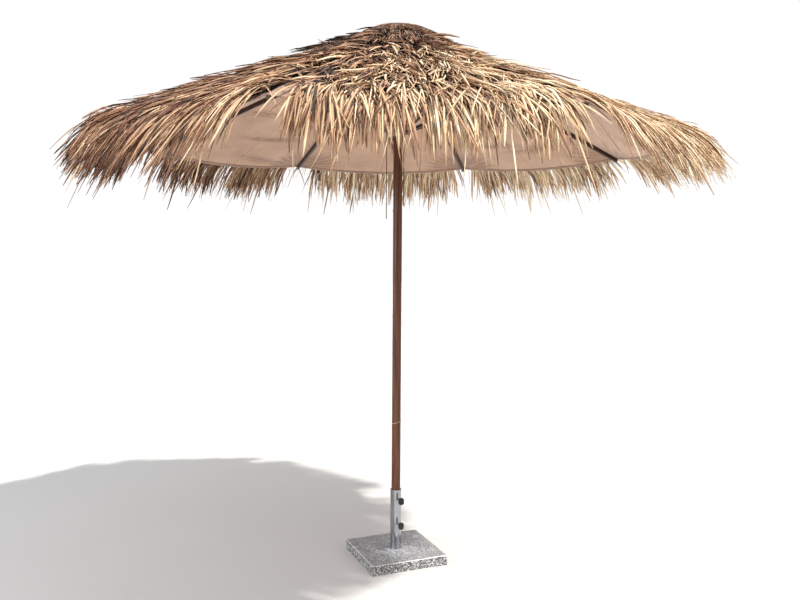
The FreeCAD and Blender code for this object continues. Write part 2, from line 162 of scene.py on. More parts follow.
def add_values(piece, name, values):
    """A number or a vector for every point of the mesh, read by its material."""
    flat = np.ascontiguousarray(values, np.float32).ravel()
    kind, key = ("FLOAT", "value") if len(flat) == len(piece.data.vertices) else ("FLOAT_VECTOR", "vector")
    piece.data.attributes.new(name, kind, "POINT").data.foreach_set(key, flat)


def tube_faces(rings, around, first=0):
    """Quads of a closed tube of that many rings, with a flat face on each end."""
    faces = []
    for i in range(rings - 1):
        a = first + i * around
        b = a + around
        for j in range(around):
            k = (j + 1) % around
            faces.append((a + j, a + k, b + k, b + j))
    last = first + (rings - 1) * around
    faces.append(tuple(range(first + around - 1, first - 1, -1)))
    faces.append(tuple(range(last, last + around)))
    return faces


def frames_along(line):
    """Two unit vectors across a line, which turn as little as they can."""
    tangents = np.gradient(line, axis=0)
    tangents /= np.linalg.norm(tangents, axis=1)[:, None]
    start = np.cross(tangents[0], (0.31, 0.87, 0.38))
    sides = [start / np.linalg.norm(start)]
    for tangent in tangents[1:]:
        side = sides[-1] - tangent * (sides[-1] @ tangent)
        sides.append(side / np.linalg.norm(side))
    sides = np.array(sides)
    return sides, np.cross(tangents, sides)


def tube_points(line, radius, around):
    """Points of the rings round a line; radius is one value or one for each ring."""
    side, other = frames_along(line)
    turn = full_turn(around)
    radius = np.broadcast_to(radius, len(line))[:, None, None]
    ring = side[:, None] * np.cos(turn)[None, :, None] + other[:, None] * np.sin(turn)[None, :, None]
    return (line[:, None] + ring * radius).reshape(-1, 3)


def turned(points, angle):
    """Points turned about the Z axis."""
    c, s = math.cos(angle), math.sin(angle)
    return np.asarray(points, float) @ np.array(((c, s, 0), (-s, c, 0), (0, 0, 1)))


# ---- cords ----
def nurbs_line(route):
    """Points along the smooth curve that has the route as its control points."""
    curve = bpy.data.curves.new("route", "CURVE")
    curve.dimensions = "3D"
    spline = curve.splines.new("NURBS")
    spline.points.add(len(route) - 1)
    for point, place in zip(spline.points, route):
        point.co = (*place, 1.0)
    spline.order_u = 3
    spline.use_endpoint_u = True
    spline.resolution_u = 24
    holder = bpy.data.objects.new("route", curve)
    mesh = bpy.data.meshes.new_from_object(holder)
    line = np.array([v.co for v in mesh.vertices], float)
    bpy.data.meshes.remove(mesh)
    bpy.data.objects.remove(holder)
    bpy.data.curves.remove(curve)
    return line


def resampled(line, step):
    """The line in even steps, and how far along it each point lies."""
    lengths = np.concatenate(([0], np.cumsum(np.linalg.norm(np.diff(line, axis=0), axis=1))))
    places = np.linspace(0, lengths[-1], max(3, round(lengths[-1] / step)))
    return np.stack([np.interp(places, lengths, line[:, axis]) for axis in range(3)], axis=1), places


def laid_rope(name, line, diameter, material, frayed=True):
    """A rope of twisted strands round a line; a frayed one opens a little at its end."""
    line, along = resampled(line, diameter * 0.42)
    side, other = frames_along(line)
    around = 6
    points = []
    faces = []
    frayed_length = 2.5 * diameter
    loosened = np.clip((along - (along[-1] - frayed_length)) / frayed_length, 0, 1) if frayed else 0 * along
    for strand in range(ROPE_STRANDS):
        turn = 2 * math.pi * (along / (ROPE_PITCH * diameter) + strand / ROPE_STRANDS)
        away = diameter * (0.235 + 0.12 * loosened)
        middle = line + (side * np.cos(turn)[:, None] + other * np.sin(turn)[:, None]) * away[:, None]
        rings = tube_points(middle, diameter * (0.262 - 0.08 * loosened), around)
        faces += tube_faces(len(middle), around, len(points) * len(rings))
        points.append(rings)
    return mesh_object(name, np.concatenate(points), faces, material)


def knot(name, centre, size, thickness, material):
    """A small overhand knot round a vertical cord."""
    t = np.linspace(0, 2 * math.pi, 73)
    loops = np.stack((np.sin(t) + 2 * np.sin(2 * t), np.cos(t) - 2 * np.cos(2 * t), -1.3 * np.sin(3 * t)),
                     axis=1)
    line = np.array(centre) + loops * size / 3
    points = tube_points(line, thickness / 2, 8)
    return mesh_object(name, points, tube_faces(len(line), 8), material)


# ---- materials ----
def srgb(red, green, blue):
    """A colour given in display values from 0 to 255, as the shader needs it."""
    return tuple((c / 255 / 12.92 if c <= 10 else ((c / 255 + 0.055) / 1.055) ** 2.4)
                 for c in (red, green, blue)) + (1.0,)


def grey(tone):
    return tone, tone, tone, 1.0


class Nodes:
    """Short calls that build the nodes of a material or a world."""

    def __init__(self, owner):
        owner.use_nodes = True
        self.nodes = owner.node_tree.nodes
        self.links = owner.node_tree.links

    def node(self, kind, inputs=(), **settings):
        made = self.nodes.new("ShaderNode" + kind)
        for key, value in settings.items():
            setattr(made, key, value)
        for socket, value in dict(inputs).items():
            if isinstance(value, bpy.types.NodeSocket):
                self.links.new(value, made.inputs[socket])
            else:
                made.inputs[socket].default_value = value
        return made

    def ramp(self, value, stops, between="LINEAR"):
        made = self.node("ValToRGB", {"Fac": value})
        made.color_ramp.interpolation = between
        elements = made.color_ramp.elements
        while len(elements) < len(stops):
            elements.new(0.5)
        for element, (at, colour) in zip(elements, stops):
            element.position = at
            element.color = colour if isinstance(colour, tuple) else grey(colour)
        return made.outputs["Color"]

    def mix(self, share, a, b, kind="MIX"):
        return self.node("MixRGB", {"Fac": share, "Color1": a, "Color2": b}, blend_type=kind).outputs[0]

    def math(self, operation, a, b=0.0):
        return self.node("Math", {0: a, 1: b}, operation=operation).outputs[0]

    def share(self, value, low, high):
        """How far a value has gone from low to high, from 0 to 1."""
        return self.node("MapRange", {"Value": value, "From Min": low, "From Max": high}).outputs[0]


class Finish(Nodes):
    """A material round one Principled shader, with short calls for its textures."""

    def __init__(self, name, **settings):
        self.material = bpy.data.materials.new(name)
        super().__init__(self.material)
        self.shader = self.nodes["Principled BSDF"]
        for socket, value in settings.items():
            self.shader.inputs[socket.replace("_", " ")].default_value = value
        self.place = self.node("TexCoord").outputs["Object"]
        self.height = None

    def stretched(self, scale, source=None):
        return self.node("Mapping", {"Vector": source or self.place, "Scale": scale}).outputs[0]

    def noise(self, scale, detail=4.0, rough=0.55, source=None, distort=0.0):
        return self.node("TexNoise", {"Vector": source or self.place, "Scale": scale, "Detail": detail,
                                      "Roughness": rough, "Distortion": distort}).outputs["Fac"]

    def cells(self, scale, feature="F1", out="Distance"):
        return self.node("TexVoronoi", {"Vector": self.place, "Scale": scale}, feature=feature).outputs[out]

    def grains(self, scale):
        """A grey value for each cell."""
        return self.node("RGBToBW", {"Color": self.cells(scale, out="Color")}).outputs[0]

    def wave(self, scale, distort, source, detail, direction="X"):
        return self.node("TexWave", {"Vector": source, "Scale": scale, "Distortion": distort,
                                     "Detail": detail}, bands_direction=direction).outputs["Fac"]

    def attribute(self, name, out="Fac"):
        return self.node("Attribute", attribute_name=name).outputs[out]

    def axis(self, letter, source=None):
        return self.node("SeparateXYZ", {"Vector": source or self.place}).outputs[letter]

    def colour(self, socket):
        self.links.new(socket, self.shader.inputs["Base Color"])

    def rough(self, socket):
        self.links.new(socket, self.shader.inputs["Roughness"])

    def bump(self, height, strength, distance=0.001):
        made = self.node("Bump", {"Height": height, "Strength": strength, "Distance": distance})
        if self.height:
            self.links.new(self.height, made.inputs["Normal"])
        self.height = made.outputs[0]
        self.links.new(self.height, self.shader.inputs["Normal"])


def granite():
    """Grey granite: large and small grains, rough sawn sides, a polished top, and a painted highlight on the
    chamfer round its top.
    """
    f = Finish("granite", Specular_IOR_Level=0.5)
    large = f.math("MULTIPLY", f.grains(215.0), 0.68)
    small = f.math("MULTIPLY", f.grains(480.0), 0.32)
    grain = f.math("ADD", large, small)
    polished = f.ramp(grain, [(0.26, srgb(78, 79, 84)), (0.42, srgb(114, 115, 120)),
                              (0.58, srgb(143, 144, 149)), (0.76, srgb(206, 206, 206))])
    sawn = f.ramp(grain, [(0.3, srgb(48, 48, 52)), (0.46, srgb(98, 98, 102)), (0.6, srgb(150, 150, 152)),
                          (0.72, srgb(238, 236, 232))])
    height = f.axis("Z")
    on_top = f.math("GREATER_THAN", height, SLAB_TOP - 0.0002)
    above_sides = f.math("GREATER_THAN", height, SLAB_TOP - ARRIS_HEIGHT)
    stone = f.mix(on_top, sawn, polished)
    # Painted highlight: the chamfer round the top is painted pale.
    painted_arris_highlight = f.math("SUBTRACT", above_sides, on_top)
    stone = f.mix(f.math("MULTIPLY", painted_arris_highlight, 0.7), stone, srgb(226, 224, 220))
    cloud = f.ramp(f.noise(11.0, 4.0), [(0.3, 0.88), (0.7, 1.06)])
    f.colour(f.mix(1.0, stone, cloud, "MULTIPLY"))
    rough_side = f.ramp(f.noise(60.0, 5.0, 0.7), [(0.3, 0.62), (0.7, 0.9)])
    smooth_top = f.ramp(f.noise(14.0, 4.0), [(0.3, 0.26), (0.7, 0.42)])
    f.rough(f.mix(above_sides, rough_side, smooth_top))
    pits = f.math("MULTIPLY", f.noise(170.0, 6.0, 0.75), f.math("SUBTRACT", 1.0, above_sides))
    f.bump(pits, 0.9, 0.0016)
    return f.material


def chrome():
    f = Finish("chrome", Metallic=1.0)
    smudge = f.noise(22.0, 5.0, 0.6, f.stretched((1.0, 1.0, 0.35)))
    f.colour(f.ramp(smudge, [(0.3, srgb(150, 153, 158)), (0.7, srgb(186, 189, 194))]))
    scratches = f.noise(900.0, 2.0, 0.5, f.stretched((1.0, 1.0, 0.02)))
    f.rough(f.mix(0.3, f.ramp(smudge, [(0.35, 0.03), (0.75, 0.11)]),
                  f.ramp(scratches, [(0.45, 0.03), (0.62, 0.14)])))
    f.bump(scratches, 0.05, 0.0002)
    return f.material


def zinc_steel():
    f = Finish("zinc_steel", Metallic=1.0)
    spangle = f.noise(240.0, 3.0, 0.6)
    f.colour(f.ramp(spangle, [(0.3, srgb(138, 138, 142)), (0.7, srgb(188, 188, 190))]))
    f.rough(f.ramp(f.noise(120.0, 4.0), [(0.3, 0.28), (0.7, 0.48)]))
    f.bump(f.noise(700.0, 3.0), 0.15, 0.0003)
    return f.material


def plastic(name, light, dark, grain):
    f = Finish(name, Specular_IOR_Level=0.45)
    patches = f.noise(30.0, 5.0, 0.6)
    f.colour(f.ramp(patches, [(0.3, dark), (0.72, light)]))
    f.rough(f.ramp(f.noise(85.0, 4.0), [(0.3, 0.34), (0.7, 0.55)]))
    f.bump(f.cells(grain, "SMOOTH_F1"), 0.22, 0.0003)
    return f.material


def pole_wood():
    f = Finish("varnished_pole_wood", Coat_Weight=0.3, Coat_Roughness=0.07, Specular_IOR_Level=0.2)
    along = f.stretched((1.0, 1.0, 0.045))
    figure = f.noise(62.0, 6.0, 0.62, along, 0.6)
    pores = f.noise(420.0, 3.0, 0.7, f.stretched((1.0, 1.0, 0.02)))
    flames = f.wave(11.0, 7.0, f.stretched((1.0, 1.0, 0.12)), 3.0)
    wood = f.ramp(figure, [(0.26, srgb(56, 27, 16)), (0.5, srgb(98, 56, 35)), (0.74, srgb(136, 86, 57))])
    wood = f.mix(0.3, wood, f.ramp(flames, [(0.1, srgb(66, 36, 27)), (0.9, srgb(128, 84, 62))]))
    lines = f.ramp(pores, [(0.36, 0.52), (0.5, 1.0)])
    wood = f.mix(0.75, wood, lines, "MULTIPLY")
    # Painted shade of the canopy: the wood is darker towards the top of the pole.
    shade = f.ramp(f.math("DIVIDE", f.axis("Z"), POLE_TOP), [(0.18, 1.02), (0.62, 0.84), (0.83, 0.46)])
    f.colour(f.mix(1.0, wood, shade, "MULTIPLY"))
    f.rough(f.ramp(figure, [(0.3, 0.42), (0.7, 0.58)]))
    f.bump(pores, 0.12, 0.0004)
    return f.material


def rib_wood():
    f = Finish("dark_rib_wood", Coat_Weight=0.2, Coat_Roughness=0.25, Specular_IOR_Level=0.4)
    figure = f.noise(45.0, 6.0, 0.65, None, 1.6)
    pores = f.noise(380.0, 3.0, 0.7)
    wood = f.ramp(figure, [(0.28, srgb(34, 19, 15)), (0.52, srgb(58, 34, 26)), (0.75, srgb(86, 54, 40))])
    f.colour(f.mix(0.6, wood, f.ramp(pores, [(0.35, 0.55), (0.55, 1.0)]), "MULTIPLY"))
    f.rough(f.ramp(figure, [(0.3, 0.38), (0.7, 0.58)]))
    f.bump(pores, 0.2, 0.0004)
    return f.material


def cord_fibre(name, light, dark):
    f = Finish(name, Roughness=0.85, Specular_IOR_Level=0.2, Sheen_Weight=0.3)
    fuzz = f.noise(1400.0, 3.0, 0.7, f.stretched((1.0, 1.0, 0.3)))
    grime = f.noise(40.0, 4.0)
    f.colour(f.mix(0.4, f.ramp(fuzz, [(0.3, dark), (0.7, light)]),
                   f.ramp(grime, [(0.3, dark), (0.75, light)])))
    f.bump(fuzz, 0.5, 0.0004)
    return f.material


def canopy_cloth(name, light, dark):
    """Canvas: a plain weave seen close, with faint streaks, dust and painted shade in its folds seen from
    further off.
    """
    f = Finish(name, Roughness=0.82, Specular_IOR_Level=0.22, Sheen_Weight=0.25, Sheen_Roughness=0.5)
    threads = f.attribute("weave", "Vector")
    warp = f.wave(THREADS_SCALE, 0.4, threads, 1.0, "X")
    weft = f.wave(THREADS_SCALE, 0.4, threads, 1.0, "Y")
    weave = f.math("MAXIMUM", warp, weft)
    streaks = f.noise(34.0, 5.0, 0.6, f.stretched((1.0, 9.0, 1.0), threads))
    dust = f.noise(5.0, 6.0, 0.62)
    cloth = f.ramp(dust, [(0.28, dark), (0.7, light)])
    cloth = f.mix(0.5, cloth, f.ramp(streaks, [(0.3, 0.9), (0.7, 1.04)]), "MULTIPLY")
    ring = f.axis("X", threads)
    seam = f.ramp(ring, [(SEAM_RING - 0.004, 1.0), (SEAM_RING - 0.0015, 0.72), (SEAM_RING + 0.0015, 0.72),
                         (SEAM_RING + 0.004, 1.0)])
    stitches = f.math("PINGPONG", f.math("MULTIPLY", f.axis("Y", threads), STITCHES_PER_METRE), 1.0)
    stitches = f.ramp(stitches, [(0.3, 0.6), (0.5, 1.0)])
    from_row = f.math("ABSOLUTE", f.math("SUBTRACT", ring, RIM_RADIUS - HEM_WIDTH))
    stitched = f.ramp(from_row, [(0.001, 1.0), (0.0022, 0.0)])
    cloth = f.mix(1.0, cloth, seam, "MULTIPLY")
    # Painted shade: the cloth is darkened where it bends sharply, in its folds.
    painted_crease_shade = f.math("MULTIPLY", f.attribute("crease_shade"), 0.55)
    cloth = f.mix(painted_crease_shade, cloth, f.mix(1.0, cloth, srgb(150, 128, 118), "MULTIPLY"))
    cloth = f.mix(stitched, cloth, f.mix(1.0, cloth, stitches, "MULTIPLY"))
    f.colour(f.mix(0.3, cloth, f.ramp(weave, [(0.1, 0.78), (0.8, 1.05)]), "MULTIPLY"))
    f.bump(weave, 0.18, 0.0004)
    f.bump(streaks, 0.12, 0.0015)
    return f.material


def dried_leaf():
    """Leaf strips: each has its own tint, fine veins along it, and ends that are darker than the middle."""
    f = Finish("dried_leaf", Specular_IOR_Level=0.3, Sheen_Weight=0.12, Sheen_Roughness=0.4)
    tint = f.attribute("tint")
    fibre = f.attribute("fibre", "Vector")
    leaf = f.ramp(tint, [(0.0, srgb(38, 20, 15)), (0.2, srgb(92, 58, 43)), (0.42, srgb(150, 107, 80)),
                         (0.62, srgb(203, 164, 129)), (0.8, srgb(240, 211, 172)), (1.0, srgb(254, 238, 208))])
    veins = f.noise(1.0, 3.0, 0.6, f.stretched((3.4, 9.0, 3.0), fibre))
    blotches = f.noise(1.0, 4.0, 0.65, f.stretched((0.5, 26.0, 7.0), fibre))
    leaf = f.mix(0.65, leaf, f.ramp(veins, [(0.3, 0.62), (0.68, 1.16)]), "MULTIPLY")
    leaf = f.mix(f.ramp(blotches, [(0.52, 0.0), (0.74, 0.5)]), leaf, srgb(134, 88, 56))
    f.colour(leaf)
    f.rough(f.ramp(veins, [(0.3, 0.5), (0.7, 0.72)]))
    f.bump(veins, 0.45, 0.0008)
    return f.material


def floor_paint():
    f = Finish("pale_floor", Roughness=0.9, Specular_IOR_Level=0.1)
    f.colour(f.ramp(f.noise(0.6, 3.0), [(0.3, 0.54), (0.7, 0.56)]))
    return f.material


MATERIALS = {
    "granite": granite(),
    "chrome": chrome(),
    "zinc_steel": zinc_steel(),
    "black_plastic": plastic("black_plastic", srgb(30, 29, 30), srgb(12, 12, 13), 900.0),
    "dark_plastic": plastic("dark_plastic", srgb(66, 46, 40), srgb(38, 25, 22), 700.0),
    "pole_wood": pole_wood(),
    "rib_wood": rib_wood(),
    "pale_cord": cord_fibre("pale_cord", srgb(232, 220, 200), srgb(186, 168, 142)),
    "dark_cord": cord_fibre("dark_cord", srgb(104, 76, 66), srgb(52, 34, 30)),
    "cloth": canopy_cloth("canopy_cloth", srgb(200, 165, 141), srgb(172, 138, 115)),
    "hem": canopy_cloth("hem_cloth", srgb(164, 132, 113), srgb(126, 98, 82)),
    "leaf": dried_leaf(),
}
FINISHED_NODES = {
    "granite": ["base_slab"],
    "chrome": ["base_tube"],
    "zinc_steel": ["anchor_bolt", "upper_clamp_screw", "lower_clamp_screw", "rib_hinge_pins", "pulley_axle",
                   "runner_eye"] + ["strut_pins_%d" % number for number in RIB_NUMBERS],
    "black_plastic": ["adapter_sleeve", "upper_clamp_knob", "lower_clamp_knob", "cord_pulley"],
    "dark_plastic": ["top_hub", "runner"],
    "pole_wood": ["pole"],
    "rib_wood": [kind + "_%d" % number for kind in ("rib", "strut") for number in RIB_NUMBERS],
}
for finish, nodes in FINISHED_NODES.items():
    for node in nodes:
        slots = frame["nodes"][node].data.materials
        slots.clear()
        slots.append(MATERIALS[finish])


# ---- cords: routes are (distance from the axis, 0, height), turned to each cord's own side ----
HAULING_ANGLE = math.atan2(joints["pulley_spin"]["pos_m"][1], joints["pulley_spin"]["pos_m"][0])
RUNNER_CORD_ANGLE = rib_angle(1) + HALF_STEP
RUNNER_CORD_ROUTE = [(0.062, 0, 2.2582), (0.06, 0, 2.242), (0.049, 0, 2.21), (0.048, 0, 2.166),
                     (0.0482, 0, 2.12), (0.0485, 0, 1.914)]
HAULING_CORD_ROUTE = [(0.036, 0, 2.775), (0.036, 0, 2.7835), (0.0413, 0, 2.787), (0.048, 0, 2.7872),
                      (0.0547, 0, 2.787), (0.06, 0, 2.7835), (0.06, 0, 2.775), (0.06, 0, 2.745),
                      (0.0602, 0, 2.6), (0.0598, 0, 2.3), (0.0602, 0, 2.0), (0.06, 0, 1.843)]
LIFT_CORD_ROUTE = [(0.036, 0, 2.3097), (0.036, 0, 2.34), (0.036, 0, 2.55), (0.036, 0, 2.76),
                   (0.036, 0, 2.775)]


def dark_rope(name, node, route, angle, frayed=True):
    """A dark rope in place of its CAD node, and the line that it follows."""
    line = turned(nurbs_line(route), angle)
    rope = laid_rope(name, line, CORD_DIAMETER, MATERIALS["dark_cord"], frayed)
    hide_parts(node)
    return rope, line


def runner_knot(name, place):
    tied = knot(name, place, KNOT_SIZE, CORD_DIAMETER * KNOT_CORD, MATERIALS["dark_cord"])
    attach(tied, "runner")
    return tied


def make_cords():
    """The taut stretch between runner and pulley, and the two cords that hang with cut ends."""
    lift, line = dark_rope("lift_cord_rope", "lift_cord", LIFT_CORD_ROUTE, HAULING_ANGLE, frayed=False)
    tied = runner_knot("lift_cord_knot", line[0] + (0, 0, 0.006))
    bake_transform(lift)

    hauling, line = dark_rope("hauling_cord_rope", "hauling_cord", HAULING_CORD_ROUTE, HAULING_ANGLE)
    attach(hauling, "pole")

    hanging, line = dark_rope("runner_cord_rope", "runner_cord", RUNNER_CORD_ROUTE, RUNNER_CORD_ANGLE)
    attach(hanging, "runner")
    tied = runner_knot("runner_cord_knot", line[0] + (0, 0, -0.004))


TIE_RADIUS = 0.0266
TIE_TILT = math.radians(17)
TIE_FRONT = math.radians(-22.5)
TIE_TURNS = 1.02
TIE_KNOT_SIZE = 0.0022


def make_tie():
    """A thin cord tied round the pole, higher on one side, with a small knot in front."""
    low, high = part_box("pole_tie_cord")
    centre = (low + high) / 2
    turn = np.linspace(0, 2 * math.pi * TIE_TURNS, 96)
    front = np.cos(turn)
    ring = np.stack((front * math.cos(TIE_TILT), np.sin(turn), front * math.sin(TIE_TILT)), axis=1)
    line = turned(ring * TIE_RADIUS, TIE_FRONT) + np.array(centre)
    tie = laid_rope("pole_tie_rope", line, TIE_DIAMETER, MATERIALS["pale_cord"], frayed=False)
    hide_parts("pole_tie_cord")
    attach(tie, "pole")
    tied = knot("pole_tie_knot", line[0] * (1.02, 1.02, 1.0), TIE_KNOT_SIZE, TIE_DIAMETER * KNOT_CORD,
                MATERIALS["pale_cord"])
    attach(tied, "pole")


make_cords()
make_tie()


# ---- the canopy's shape, in a frame whose X axis is the rib's direction ----
def rib_line(radius):
    return HINGE_HEIGHT - (radius - HINGE_RADIUS) * math.tan(SLOPE)


def panel_place(ring, part):
    """The point of a ring: part is 0 on the rib, +1 or -1 half way to the next rib on either side."""
    share = np.abs(part)
    reach = ring * HALF_COS
    across = -(1 - share) * ring * HALF_SIN
    x = reach * HALF_COS - across * HALF_SIN
    y = reach * HALF_SIN + across * HALF_COS
    return x, y * np.sign(part)


def ring_and_part(x, y):
    """The ring and the part of it that a point lies on."""
    reach = x * HALF_COS + np.abs(y) * HALF_SIN
    ring = reach / HALF_COS
    across = -x * HALF_SIN + np.abs(y) * HALF_COS
    part = 1 + across / np.maximum(ring * HALF_SIN, 1e-6)
    return ring, part * np.where(y < 0, -1.0, 1.0)


FAN_STRETCH = 1.55  # length of a panel along its ribs, as the fans of folds measure it
FAN_LENGTH = 0.3  # how far a fan of folds reaches from its corner
CREASE_COUNT = 4


def fold_height(panel, ring, across):
    """Small folds of one panel: a fan from each of its corners at the rim, and short creases across it.
    across runs from -1 to 1 between the panel's two ribs."""
    rng = np.random.default_rng(400 + panel)
    height = 0 * ring
    for side in (-1, 1):
        along = (RIM_RADIUS - ring) / RIM_RADIUS * FAN_STRETCH
        away = np.abs(across - side) * ring * HALF_SIN
        distance = np.hypot(along, away)
        angle = np.arctan2(away, np.maximum(along, 1e-4))
        size = rng.uniform(0.0034, 0.0062)
        waves = rng.uniform(9, 15)
        phase = rng.uniform(0, 6)
        strength = np.sin(np.clip(distance / FAN_LENGTH, 0, 1) * math.pi)
        height += size * np.cos(waves * angle + phase) * strength * np.clip(angle * 3, 0, 1)
    for _ in range(CREASE_COUNT):
        where = rng.uniform(0.55, 1.42)
        width = rng.uniform(0.008, 0.02)
        lean = rng.uniform(-0.10, 0.10)
        middle = rng.uniform(-0.6, 0.6)
        spread = rng.uniform(0.2, 0.45)
        size = rng.uniform(0.003, 0.007)
        ridge = np.exp(-((ring - where - lean * across) / width) ** 2)
        height += size * ridge * np.exp(-((across - middle) / spread) ** 2)
    return height * (1 - across ** 4)


def cloth_height(number, ring, part):
    """Height of the fabric's upper side in the sector of one rib, with its sag and folds."""
    grown = (ring - FABRIC_INNER) / (RIM_RADIUS - FABRIC_INNER)
    share = np.abs(part)
    sag = RIM_SAG * np.clip(grown, 0, 1.1) ** 2 * (1 - (1 - share) ** 2)
    panels = np.where(part >= 0, number, number - 1) % RIB_COUNT
    folds = 0 * ring
    for side in (0, 1):
        panel = (number - side) % RIB_COUNT
        across = np.where(part >= 0, -(1 - share), 1 - share)
        folds = np.where(panels == panel, fold_height(panel, ring, across), folds)
    return rib_line(ring) + FABRIC_LIFT - sag + folds


def squash_across(piece):
    """Gives a piece its own copy of its mesh."""
    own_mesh(piece)


def sheet_from_grid(name, top, bottom, material):
    """A closed thin sheet from two grids of points, of rows by columns."""
    rows, columns = top.shape[:2]
    count = rows * columns
    faces = []
    for i in range(rows - 1):
        for j in range(columns - 1):
            a = i * columns + j
            quad = (a, a + 1, a + columns + 1, a + columns)
            faces.append(quad)
            faces.append(tuple(count + corner for corner in reversed(quad)))
    edge = list(range(columns)) + [i * columns + columns - 1 for i in range(1, rows)]
    edge += [(rows - 1) * columns + j for j in range(columns - 2, -1, -1)]
    edge += [i * columns for i in range(rows - 2, 0, -1)]
    for a, b in zip(edge, edge[1:] + edge[:1]):
        faces.append((b, a, count + a, count + b))
    points = np.concatenate((top.reshape(-1, 3), bottom.reshape(-1, 3)))
    return mesh_object(name, points, faces, material)


SHARPEST_BEND = 0.0016
CLOTH_ROWS = 150
CLOTH_COLUMNS = 81


def crease_depth(height):
    """How sharply the cloth bends at each point of its grid, from 0 to 1; the cloth's material paints shade
    into its folds by this.
    """
    bend = np.zeros(height.shape)
    bend[1:-1] += height[2:] + height[:-2] - 2 * height[1:-1]
    bend[:, 1:-1] += height[:, 2:] + height[:, :-2] - 2 * height[:, 1:-1]
    return np.clip(np.abs(bend) / SHARPEST_BEND, 0, 1)


def make_cloth(number):
    """The sector of fabric that one rib carries, half way to each neighbour."""
    rings = np.linspace(FABRIC_INNER, RIM_RADIUS, CLOTH_ROWS)
    parts = np.linspace(-1, 1, CLOTH_COLUMNS)
    ring, part = np.meshgrid(rings, parts, indexing="ij")
    part = np.where(part == 0, OFF_RIB, part)
    x, y = panel_place(ring, part)
    z = cloth_height(number, ring, part)
    angle = rib_angle(number)
    top = turned(np.stack((x, y, z), axis=-1), angle)
    bottom = turned(np.stack((x, y, z - FABRIC_THICKNESS), axis=-1), angle)
    cloth = sheet_from_grid("canopy_cloth_%d" % number, top, bottom, MATERIALS["cloth"])
    weave = np.stack((ring, part * ring * HALF_SIN, 0 * ring), axis=-1).reshape(-1, 3)
    add_values(cloth, "weave", np.concatenate((weave, weave)))
    # Painted shade in the folds: how far the cloth's colour is darkened at each point.
    crease_shade = crease_depth(z + rib_line(0) - rib_line(ring)).ravel()
    add_values(cloth, "crease_shade", np.concatenate((crease_shade, crease_shade)))
    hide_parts("canopy_gore_%d" % number)

    hem = make_hem(number, angle)
    squash_across(cloth)
    squash_across(hem)
    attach(cloth, "rib_%d" % number)
    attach(hem, "rib_%d" % number)


# Section of the hem: distances beyond the rim, and heights over the fabric's underside.
HEM_SECTION = [(0.0, 0.0004), (0.0022, -0.0008), (0.0020, -0.0030), (-0.0010, -0.0042), (-0.010, -0.0038),
               (-HEM_WIDTH, -0.0030), (-HEM_WIDTH, -0.0014), (-0.010, -0.0012)]
HEM_STATIONS = 97
HEM_OVERLAP = 0.0012  # how far the hem is set into the fabric, so that no gap shows
HEM_OVER_RIB = 0.0010  # how far the hem rises over the rib
HEM_HALF_LENGTH = 0.58


def make_hem(number, angle):
    """The folded and stitched edge of the fabric, on its underside."""
    parts = np.linspace(-1, 1, HEM_STATIONS)
    parts = np.where(parts == 0, OFF_RIB, parts)
    rng = np.random.default_rng(60 + number)
    ruffle = np.convolve(rng.normal(0, 0.0009, len(parts) + 6), np.ones(7) / 7, "valid")
    near_rib = np.exp(-(parts / 0.07) ** 2)
    rings = []
    for out, over in HEM_SECTION:
        ring = RIM_RADIUS + out + 0 * parts
        x, y = panel_place(ring, parts)
        z = cloth_height(number, np.minimum(ring, RIM_RADIUS), parts) - FABRIC_THICKNESS + over + HEM_OVERLAP
        z += ruffle * (out < -0.001) + near_rib * HEM_OVER_RIB
        rings.append(np.stack((x, y, z), axis=-1))
    points = turned(np.stack(rings, axis=1).reshape(-1, 3), angle)
    around = len(HEM_SECTION)
    hem = mesh_object("canopy_hem_%d" % number, points, tube_faces(len(parts), around), MATERIALS["hem"])
    outs = np.tile([out for out, _ in HEM_SECTION], len(parts))
    weave = np.stack((np.repeat(parts * HEM_HALF_LENGTH, around), outs, 0 * outs), axis=-1)
    add_values(hem, "weave", weave)
    return hem


for rib_number in RIB_NUMBERS:
    make_cloth(rib_number)


# ---- thatch ----
STRIP_RINGS = 9
STRIP_STEPS = STRIP_RINGS - 1
STRIP_TAPER = np.interp(np.linspace(0, 1, STRIP_RINGS), [0, 0.12, 0.5, 0.85, 1.0],
                        [0.65, 1.0, 0.98, 0.76, 0.26])
STRIPS_PER_FAN = 5
LEAF_WAVE = 0.006  # how far a strip bows up between its ends
LIFT_GROWTH = 0.7  # below 1, a strip rises from the fabric mostly near its root
DROOP_INSIDE = 0.07  # strips start to droop this far inside the rim
DROOP_LENGTH = 0.20  # and hang fully over this distance
STEEPEST = math.radians(86)
DOWNHILL_SHARE = 0.45  # how far a strip's heading turns from radial to the panel's own fall
# Towards the camera's right, where the sun stood, the leaf is bleached and also painted lighter as painted
# light, and the thatch lies shorter and flatter; towards its left the leaf is painted dark as painted shade.
# Each table goes by the cosine of the angle from a side.
LIT_AND_BLEACHED_SIDE = VIEW_TURN + math.radians(8)
SIDE_LIGHT_AND_BLEACH_TINTS = ((-1.0, -0.2, 1.0), (-0.42, -0.09, 0.04))
WEATHERED_SHARE = 0.15
WORN_SIDE = VIEW_TURN
LENGTH_BY_SIDE = ((-0.9, -0.5, 0.3, 0.95), (0.93, 1.0, 1.0, 0.83))
LIFT_BY_SIDE = ((-0.9, 0.2, 0.95), (1.12, 1.0, 0.55))


